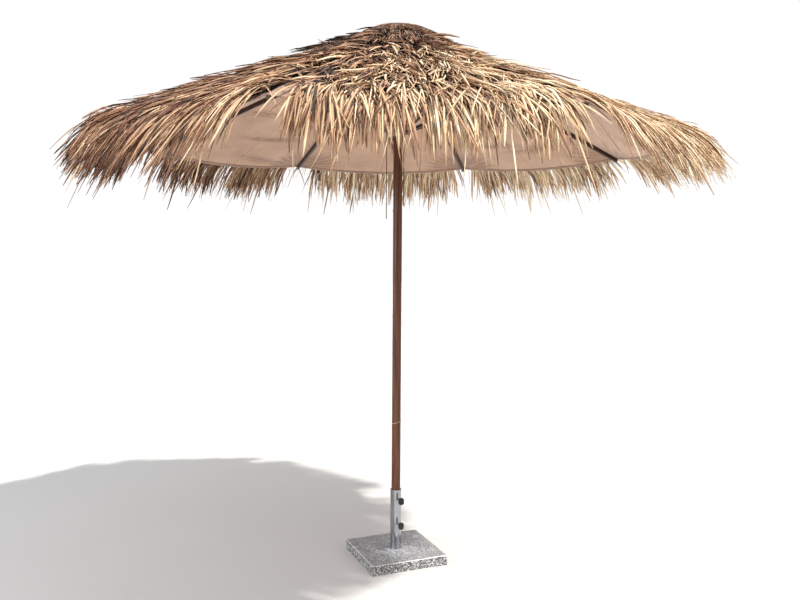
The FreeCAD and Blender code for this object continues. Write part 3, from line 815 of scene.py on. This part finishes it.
def strips_mesh(name, paths, widths, thickness, tints, twists, rng):
    """Leaf strips as closed, slightly folded blades along their paths (strips by rings by xyz)."""
    count, rings = paths.shape[:2]
    tangents = np.gradient(paths, axis=1)
    tangents /= np.linalg.norm(tangents, axis=2, keepdims=True)
    up = np.array((0.0, 0.0, 1.0)) + 0 * tangents
    side = np.cross(tangents, up)
    side /= np.maximum(np.linalg.norm(side, axis=2, keepdims=True), 1e-6)
    normal = np.cross(side, tangents)
    turn = twists[:, :1] + twists[:, 1:] * np.linspace(0, 1, rings)
    c, s = np.cos(turn)[..., None], np.sin(turn)[..., None]
    side, normal = side * c + normal * s, normal * c - side * s
    width = (widths[:, None] * STRIP_TAPER)[..., None] / 2
    fold = width * rng.uniform(0.1, 0.6, (count, 1, 1))
    half = thickness / 2
    corners = np.stack((paths - side * width, paths + normal * (fold + half),
                        paths + side * width, paths + normal * (fold - half)), axis=2)
    points = corners.reshape(-1, 3)
    first = np.arange(count)[:, None] * rings * 4
    single = np.array(tube_faces(rings, 4))
    faces = (first[:, :, None] + single[None]).reshape(-1, 4)
    piece = mesh_object(name, points, faces.tolist(), MATERIALS["leaf"])
    lengths = np.concatenate((np.zeros((count, 1)), np.cumsum(
        np.linalg.norm(np.diff(paths, axis=1), axis=2), axis=1)), axis=1)
    # Each strip reads its own place in the leaf texture: across it, along it, and at its own offset.
    offset = rng.uniform(0, 40, (count, 1, 1)) + np.zeros((count, rings, 4))
    across = np.array((-1.0, 0.0, 1.0, 0.2)) + np.zeros((count, rings, 4))
    fibre = np.stack((across + offset, lengths[:, :, None] + 0 * offset, offset), axis=-1)
    shade = np.interp(np.linspace(0, 1, rings), [0, 0.25, 0.8, 1.0], [-0.13, 0.0, 0.02, -0.10])
    tint = tints[:, None, None] + shade[None, :, None] + 0 * offset
    add_values(piece, "tint", np.clip(tint, 0.0, 1.0))
    add_values(piece, "fibre", fibre)
    return piece


def strip_paths(number, rng, ring, part, heading, length, lift, curl, droop):
    """Paths that lie over the fabric and bend down past its rim, within the sector of their rib. Each
    argument after rng has a value for every strip; lift is (root, tip) above the fabric."""
    count = len(ring)
    x, y = panel_place(ring, part)
    step = length / STRIP_STEPS
    points = []
    fall = np.zeros(count)
    aim = heading.copy()
    clear = rng.uniform(0.002, 0.022, count)
    for i in range(STRIP_RINGS):
        share = i / STRIP_STEPS
        place_ring, place_part = ring_and_part(x, y)
        place_part = np.clip(place_part, -1, 1)
        past = np.maximum(place_ring - RIM_RADIUS, 0)
        base = cloth_height(number, np.minimum(place_ring, RIM_RADIUS), place_part)
        base += -past * math.tan(SLOPE)
        rise = lift[:, 0] + (lift[:, 1] - lift[:, 0]) * share ** LIFT_GROWTH
        points.append(np.stack((x, y, base + rise - fall), axis=-1))
        bend = SLOPE + droop * np.clip((place_ring - RIM_RADIUS + DROOP_INSIDE) / DROOP_LENGTH, 0, 1)
        bend = np.minimum(bend, STEEPEST)
        forward = step * np.cos(bend)
        fall += step * np.sin(bend) - forward * math.tan(SLOPE)
        x = x + forward * np.cos(aim)
        y = y + forward * np.sin(aim)
        border = np.maximum(x * math.tan(HALF_STEP) - clear, 0.002)
        y = np.clip(y, -border, border)
        aim = aim + curl / STRIP_STEPS
    return np.stack(points, axis=1)


def outward(ring, part):
    """Heading from the axis, turned partly to the way that the panel falls."""
    x, y = panel_place(ring, part)
    radial = np.arctan2(y, x)
    downhill = np.where(part < 0, -HALF_STEP, HALF_STEP)
    return radial * (1 - DOWNHILL_SHARE) + downhill * DOWNHILL_SHARE


def strip_tints(rng, azimuth, middle, spread, count):
    """Tints for strips, from 0 (dark) to 1 (bleached), by their side of the umbrella, where the side term is
    bleaching and painted light and shade together; some are weathered.
    """
    # Painted light and shade by side, together with bleaching on the sunlit side.
    side_light_and_bleach = np.interp(np.cos(azimuth - LIT_AND_BLEACHED_SIDE), *SIDE_LIGHT_AND_BLEACH_TINTS)
    tints = rng.normal(middle, spread, count) + side_light_and_bleach
    weathered = rng.random(count) < WEATHERED_SHARE
    return np.where(weathered, tints - rng.uniform(0.2, 0.42, count), tints)


def course(number, rng, ring, *, per_metre, length, width, root_lift, tip_lift, tint, gap, spread, stray,
           droop=0.0, depth=0.05, tint_spread=0.13, twist=0.5, raised_inside=True):
    """One sewn row of leaves, each a small fan of strips. Pairs are (least, most).

    gap is the bare width beside the rib, spread how far the headings differ in degrees, stray the share
    of strips that lie askew, and depth how far the roots lie to either side of the ring. A row that is
    raised_inside stands higher over the fabric near the hub, to meet the cap."""
    half_edge = ring * HALF_SIN
    fans = max(6, round(2 * half_edge * per_metre / STRIPS_PER_FAN))
    fan_part = rng.uniform(-1, 1, fans)
    clear = gap / half_edge
    fan_part = np.sign(fan_part) * (clear + (1 - clear) * np.abs(fan_part))
    fan_turn = rng.normal(0, math.radians(spread * 0.7), fans)
    fan_tint = rng.normal(0, 0.07, fans)
    members = rng.integers(STRIPS_PER_FAN - 2, STRIPS_PER_FAN + 3, fans)
    owner = np.repeat(np.arange(fans), members)
    count = len(owner)
    part = fan_part[owner] + rng.normal(0, 0.012 / half_edge, count)
    part = np.clip(part, -1, 1)
    part = np.where(np.abs(part) < 1e-3, 1e-3, part)
    rings = ring + rng.uniform(-depth, depth, count)
    heading = outward(rings, part) + fan_turn[owner] + rng.normal(0, math.radians(spread * 0.7), count)
    strays = rng.random(count) < stray
    heading = heading + strays * rng.normal(0, math.radians(26), count)
    x, y = panel_place(rings, part)
    azimuth = rib_angle(number) + np.arctan2(y, x)
    worn = np.cos(azimuth - WORN_SIDE)
    lengths = rng.uniform(*length, count) * np.interp(worn, *LENGTH_BY_SIDE)
    lengths *= np.where(rng.random(count) < 0.05, 1.25, 1.0)
    lifts = np.stack((rng.uniform(*root_lift, count), rng.uniform(*tip_lift, count)), axis=1)
    lifts[:, 1] += strays * rng.uniform(0.0, 0.03, count)
    if raised_inside:
        lifts += np.interp(rings, (0.2, 0.5), (0.020, 0.0))[:, None]
    lifts *= np.interp(worn, *LIFT_BY_SIDE)[:, None]
    curl = rng.normal(0, math.radians(13), count)
    droops = np.full(count, droop) * rng.uniform(0.72, 1.2, count)
    paths = strip_paths(number, rng, rings, part, heading, lengths, lifts, curl, droops)
    bow = np.sin(np.linspace(0, 1, STRIP_RINGS) * math.pi)
    paths[:, :, 2] += bow[None] * np.abs(rng.normal(0, LEAF_WAVE, count))[:, None]
    widths = rng.uniform(*width, count)
    tints = strip_tints(rng, azimuth, tint, tint_spread, count) + fan_tint[owner]
    twists = np.stack((rng.normal(0, twist, count), rng.normal(0, 1.4 * twist, count)), axis=1)
    return paths, widths, tints, twists


def join_courses(rows):
    return [np.concatenate(values) for values in zip(*rows)]


def rib_gap(ring, middle, widest):
    """Bare width beside a rib, which opens towards the rim."""
    return float(np.interp(ring, (0.6, 1.0, 1.4), (0.0, middle, widest)))


def under_rows(number, rng):
    """Broad strips that lie close on the fabric and hide it from above; their dark tint is painted shade, for
    the shadowed layers beneath the rows over them.
    """
    rows = []
    for ring in np.arange(0.24, 1.30, 0.12):
        longest = min(0.28, RIM_RADIUS - ring - 0.03)
        rows.append(course(number, rng, ring, per_metre=95, length=(longest * 0.7, longest),
                           width=(0.018, 0.030), root_lift=(0.012, 0.020), tip_lift=(0.014, 0.024),
                           tint=0.10, gap=rib_gap(ring, 0.05, 0.085), spread=6.0, stray=0.0,
                           tint_spread=0.06, twist=0.12, raised_inside=False))
    return join_courses(rows)


def cover_rows(number, rng):
    """The overlapping rows that show, darker towards the hub, and fine short rows beside the cap."""
    rows = []
    for ring in np.arange(0.17, 1.36, 0.085):
        middle = float(np.interp(ring, (0.17, 0.32, 0.46, 0.62, 1.4), (0.32, 0.46, 0.66, 0.78, 0.78)))
        length = float(np.interp(ring, (0.2, 0.6, 1.36), (0.28, 0.36, 0.40)))
        rows.append(course(number, rng, ring, per_metre=120, length=(length * 0.6, length * 1.15),
                           width=(0.0065, 0.0135), root_lift=(0.008, 0.020), tip_lift=(0.030, 0.066),
                           tint=middle, gap=rib_gap(ring, 0.03, 0.065), spread=15.0, stray=0.12,
                           droop=math.radians(30)))
    for ring in (0.11, 0.15, 0.19, 0.24, 0.29):
        middle = float(np.interp(ring, (0.11, 0.29), (0.34, 0.56)))
        rows.append(course(number, rng, ring, per_metre=300, length=(0.15, 0.25),
                           width=(0.0045, 0.0085), root_lift=(0.034, 0.044), tip_lift=(0.020, 0.034),
                           tint=middle, gap=0.0, spread=9.0, stray=0.03, depth=0.02))
    return join_courses(rows)


def fringe_rows(number, rng):
    """Long strips rooted near the rim, which hang past it."""
    rows = []
    for ring, longest in ((1.28, 0.58), (1.36, 0.49), (1.42, 0.42), (1.47, 0.35)):
        rows.append(course(number, rng, ring, per_metre=98, length=(longest * 0.68, longest),
                           width=(0.0070, 0.0140), root_lift=(0.006, 0.020), tip_lift=(0.014, 0.045),
                           tint=0.80, gap=0.07, spread=8.0, stray=0.07, droop=math.radians(38),
                           depth=0.03))
    return join_courses(rows)


def make_thatch(number):
    """The thatch that one rib carries: an under-layer tinted dark as painted shade, the overlapping rows, and
    the fringe.
    """
    rng = np.random.default_rng(900 + number)
    angle = rib_angle(number)
    layers = (("thatch_under", under_rows(number, rng), 0.0010),
              ("thatch_cover", cover_rows(number, rng), 0.0011),
              ("thatch_fringe", fringe_rows(number, rng), 0.0011))
    for name, (paths, widths, tints, twists), thickness in layers:
        placed = turned(paths.reshape(-1, 3), angle).reshape(paths.shape)
        piece = strips_mesh("%s_%d" % (name, number), placed, widths, thickness, tints, twists, rng)
        squash_across(piece)
        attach(piece, "rib_%d" % number)
        if name == "thatch_cover":
            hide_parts("thatch_skirt_%d" % number)


for rib_number in RIB_NUMBERS:
    make_thatch(rib_number)


# How far the crown's strips drop below its top, by their distance from the axis.
CROWN_REACH = [0, 0.06, 0.13, 0.22, 0.30, 0.40]
CROWN_DROP = [0.014, 0.017, 0.035, 0.072, 0.107, 0.148]
# Section of the core under them: distances from the axis, and drops below the crown's top.
CORE_SECTION = [(0.02, 0.011), (0.05, 0.015), (0.09, 0.024), (0.13, 0.038), (0.17, 0.055), (0.20, 0.070),
                (0.215, 0.079), (0.20, 0.079), (0.16, 0.060), (0.074, 0.054)]
# Layers of strips: distance of the roots from the axis, count, lengths, lift over the core, tint.
CROWN_LAYERS = [(0.006, 800, (0.11, 0.19), 0.004, 0.28),
                (0.05, 900, (0.10, 0.17), 0.001, 0.34),
                (0.10, 800, (0.08, 0.14), -0.002, 0.42)]


def make_crown_core(rng):
    """The bound core of short leaf that sits on the hub."""
    around = 96
    turn = full_turn(around)
    rings = []
    for radius, drop in CORE_SECTION:
        rough = rng.normal(0, 0.0012, around)
        rings.append(np.stack(((radius + rough) * np.cos(turn), (radius + rough) * np.sin(turn),
                               CROWN_TOP - drop + rough), axis=-1))
    points = np.concatenate(rings)
    core = mesh_object("thatch_crown_core", points, tube_faces(len(rings), around), MATERIALS["leaf"])
    add_values(core, "tint", rng.uniform(0.12, 0.30, len(points)))
    fibre = np.stack((np.tile(turn * 30, len(rings)), np.hypot(points[:, 0], points[:, 1]), points[:, 2]), -1)
    add_values(core, "fibre", fibre)
    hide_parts("thatch_crown")
    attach(core, "pole")


def crown_layer(rng, start, count, length, lift, tint):
    """Strips that run outwards and down over the core, as strips_mesh takes them."""
    angle = rng.uniform(0, 2 * math.pi, count)
    lengths = rng.uniform(*length, count)
    heading = angle + rng.normal(0, 0.16, count)
    curl = rng.normal(0, 0.25, count)
    radius = start + rng.uniform(0, 0.03, count)
    x, y = radius * np.cos(angle), radius * np.sin(angle)
    rise = lift + rng.uniform(0.0, 0.006, count)
    path = []
    for _ in range(STRIP_RINGS):
        z = CROWN_TOP - np.interp(np.hypot(x, y), CROWN_REACH, CROWN_DROP)
        path.append(np.stack((x, y, z + rise), axis=-1))
        x = x + lengths / STRIP_STEPS * np.cos(heading)
        y = y + lengths / STRIP_STEPS * np.sin(heading)
        heading = heading + curl / STRIP_STEPS
    # Lighter towards the sunlit side: bleaching, and painted light.
    tints = rng.normal(tint, 0.12, count) + 0.05 * np.cos(angle - LIT_AND_BLEACHED_SIDE)
    widths = rng.uniform(0.004, 0.008, count)
    twists = np.stack((rng.normal(0, 0.3, count), rng.normal(0, 0.5, count)), axis=1)
    return np.stack(path, axis=1), widths, tints, twists


def make_crown():
    """The cap over the hub: a bound core of short leaf with strips laid down it."""
    rng = np.random.default_rng(77)
    make_crown_core(rng)
    paths, widths, tints, twists = join_courses([crown_layer(rng, *layer) for layer in CROWN_LAYERS])
    strips = strips_mesh("thatch_crown_strips", paths, widths, 0.001, tints, twists, rng)
    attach(strips, "pole")


make_crown()


# ---- floor and light ----
FLOOR_RADIUS = 30.0
FLOOR_CORNERS = 96
FLOOR_CLEARANCE = 0.0002
SUN_TURN = math.radians(74)  # lights are turned about the axis from the camera's side, to its right
SUN_RISE = math.radians(53.6)
SUN_POWER = 4.7
SUN_WIDTH = math.radians(1.6)
FILL_TURN = math.radians(-50)
FILL_RISE = math.radians(12)
FILL_AIM = Vector((0, 0, 1.6))
FILL_DISTANCE = 6.0
FILL_SIZE = 3.0
FILL_POWER = 160.0
# Brightness of the studio's walls once around, from the -X direction through -Y, +X and +Y.
WALL_TONES = [(0.0, 0.62), (0.1, 0.5), (0.23, 0.55), (0.28, 1.6), (0.35, 1.5), (0.41, 0.25), (0.5, 0.08),
              (0.69, 0.12), (0.77, 1.5), (0.86, 1.3), (0.93, 0.7), (1.0, 0.62)]
CEILING_FROM = 0.25
CEILING_FULL = 0.65
CEILING_TONE = 1.15
BACKDROP_TONE = 1.1
WORLD_STRENGTH = 0.92


def make_floor():
    turn = full_turn(FLOOR_CORNERS)
    points = np.stack((FLOOR_RADIUS * np.cos(turn), FLOOR_RADIUS * np.sin(turn), 0 * turn - FLOOR_CLEARANCE),
                      axis=-1)
    floor = mesh_object("floor", points, [tuple(range(FLOOR_CORNERS))], floor_paint(), smooth=False)


def add_light(name, kind, turn, rise, power, colour):
    """A light that shines towards the axis, and the direction in which it stands."""
    data = bpy.data.lights.new(name, kind)
    data.energy = power
    data.color = colour
    light = new_object(name, data)
    heading = VIEW_TURN + math.radians(-90) + turn
    away = Vector((math.cos(heading) * math.cos(rise), math.sin(heading) * math.cos(rise), math.sin(rise)))
    light.rotation_euler = (-away).to_track_quat("-Z", "Y").to_euler()
    return light, away


def make_lights():
    sun, _ = add_light("key", "SUN", SUN_TURN, SUN_RISE, SUN_POWER, (1.0, 0.965, 0.9))
    sun.data.angle = SUN_WIDTH
    fill, away = add_light("fill", "AREA", FILL_TURN, FILL_RISE, FILL_POWER, (0.95, 0.97, 1.0))
    fill.data.size = FILL_SIZE
    fill.location = FILL_AIM + away * FILL_DISTANCE


def make_world():
    """A soft studio: walls of uneven brightness, a light ceiling, and a white backdrop for the camera."""
    world = bpy.data.worlds.new("studio")
    w = Nodes(world)
    towards = w.node("SeparateXYZ", {0: w.node("TexCoord").outputs["Generated"]}).outputs
    turn = w.math("ARCTAN2", towards["Y"], towards["X"])
    walls = w.ramp(w.share(turn, -math.pi, math.pi), WALL_TONES, "EASE")
    studio = w.mix(w.share(towards["Z"], CEILING_FROM, CEILING_FULL), walls, grey(CEILING_TONE))
    seen = w.node("LightPath").outputs["Is Camera Ray"]
    background = w.nodes["Background"].inputs
    w.links.new(w.mix(seen, studio, grey(BACKDROP_TONE)), background["Color"])
    background["Strength"].default_value = WORLD_STRENGTH
    bpy.context.scene.world = world
    bpy.context.scene.view_settings.view_transform = "Standard"


make_floor()
make_lights()
make_world()

bpy.context.view_layer.update()
